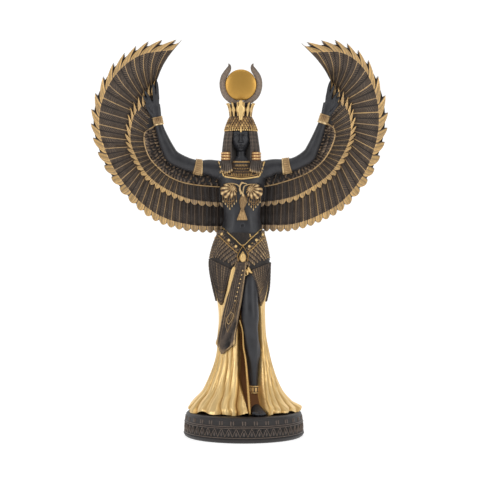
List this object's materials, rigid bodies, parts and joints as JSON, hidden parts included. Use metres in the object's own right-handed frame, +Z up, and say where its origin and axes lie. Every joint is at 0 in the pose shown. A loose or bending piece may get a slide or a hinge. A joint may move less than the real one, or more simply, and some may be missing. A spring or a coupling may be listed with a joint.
{
  "type": "isis statue",
  "caption": "Winged goddess standing on a low round plinth, arms and wings raised round a horned sun disc crown, in a long flared skirt with one bare leg forward.",
  "frame": {"origin": "middle of the underside's level, under the middle of the whole statue's box", "axes": "+Z up; the figure faces -Y; the wings spread along X"},
  "size_m": [0.2225, 0.0912, 0.2981],
  "materials": {
    "figure_paint": "satin dark bronze and black paint over cast resin, with gold highlights",
    "plinth_paint": "satin black paint over cast resin, with bronze rubbed on the raised relief",
    "charcoal_skin": "smooth satin charcoal paint over cast resin",
    "gold_paint": "satin antique gold paint, darker in the hollows",
    "dark_bronze": "brown black bronze paint with gold rubbed on the raised edges"
  },
  "bodies": {
    "root": {"figure": "figure_paint", "plinth": "plinth_paint"}
  },
  "joints": []
}
